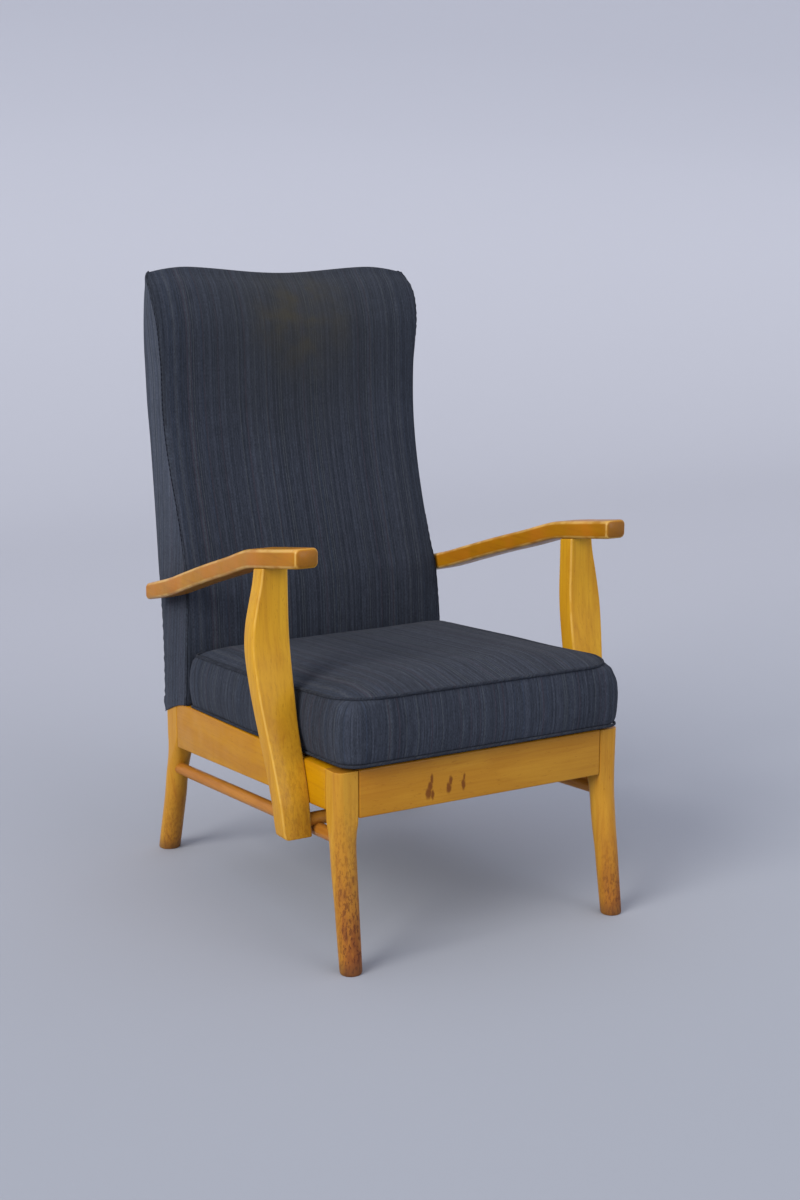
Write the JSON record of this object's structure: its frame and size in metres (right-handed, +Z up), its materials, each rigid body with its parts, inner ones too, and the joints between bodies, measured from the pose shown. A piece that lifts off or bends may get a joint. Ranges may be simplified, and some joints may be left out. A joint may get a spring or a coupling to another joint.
{
  "type": "fireside chair",
  "caption": "High-backed fireside chair: varnished wooden frame with open downswept arms, sprung seat, loose boxed cushion and curved upholstered back",
  "frame": {"origin": "centre of the footprint on the floor", "axes": "+Z up, -Y the way the sitter faces, +X to the sitter's left (the right-hand side seen from the front)"},
  "size_m": [0.639, 0.727, 1.0209],
  "materials": {
    "beech": "honey-coloured gloss varnish, worn on the front legs",
    "arm_beech": "honey-coloured gloss varnish, browner from handling",
    "hidden_beech": "bare planed wood",
    "cover_cloth": "slate blue woven cloth with fine stripes",
    "piping_cloth": "slate blue woven cloth on the bias",
    "stuffing": "layered foam and felt",
    "webbing": "woven jute",
    "steel": "plain zinc-plated steel",
    "spring_sleeve": "braided cotton sleeve over steel wire"
  },
  "bodies": {
    "chair_frame": {"front_leg_left": "beech", "front_leg_right": "beech", "back_leg_left": "beech", "back_leg_right": "beech", "front_seat_rail": "beech", "back_seat_rail": "beech", "side_seat_rail_left": "beech", "side_seat_rail_right": "beech", "side_stretcher_left": "beech", "side_stretcher_right": "beech", "cross_stretcher": "beech", "arm_post_left": "beech", "arm_post_right": "beech", "armrest_left": "arm_beech", "armrest_right": "arm_beech", "corner_block_front_left": "hidden_beech", "corner_block_front_right": "hidden_beech", "corner_block_back_left": "hidden_beech", "corner_block_back_right": "hidden_beech", "back_frame_stile_left": "hidden_beech", "back_frame_stile_right": "hidden_beech", "back_frame_bottom_rail": "hidden_beech", "back_frame_middle_rail": "hidden_beech", "back_frame_top_rail": "hidden_beech", "back_inside_cover": "cover_cloth", "back_side_cover_left": "cover_cloth", "back_side_cover_right": "cover_cloth", "back_outside_cover": "cover_cloth", "back_stuffing": "stuffing", "back_webbing_strap_1": "webbing", "back_webbing_strap_2": "webbing", "back_webbing_strap_3": "webbing", "back_webbing_strap_4": "webbing", "back_webbing_strap_5": "webbing", "spring_strip_left": "steel", "spring_strip_right": "steel", "arm_post_bolt_left_1": "steel", "arm_post_bolt_left_2": "steel", "arm_post_bolt_right_1": "steel", "arm_post_bolt_right_2": "steel", "back_frame_bolt_left_1": "steel", "back_frame_bolt_left_2": "steel", "back_frame_bolt_right_1": "steel", "back_frame_bolt_right_2": "steel", "armrest_bolt_left": "steel", "armrest_bolt_right": "steel", "seat_spring_1": "spring_sleeve", "seat_spring_2": "spring_sleeve", "seat_spring_3": "spring_sleeve", "seat_spring_4": "spring_sleeve", "seat_spring_5": "spring_sleeve", "seat_spring_6": "spring_sleeve", "seat_spring_7": "spring_sleeve", "seat_spring_8": "spring_sleeve"},
    "seat_cushion": {"seat_cushion_cover": "cover_cloth", "seat_cushion_core": "stuffing", "seat_cushion_piping_bottom": "piping_cloth", "seat_cushion_piping_top": "piping_cloth"}
  },
  "joints": [
    {"name": "cushion_lift", "type": "slide", "parent": "chair_frame", "child": "seat_cushion", "axis": [0, 0, 1], "range_m": [0, 0.18]}
  ]
}
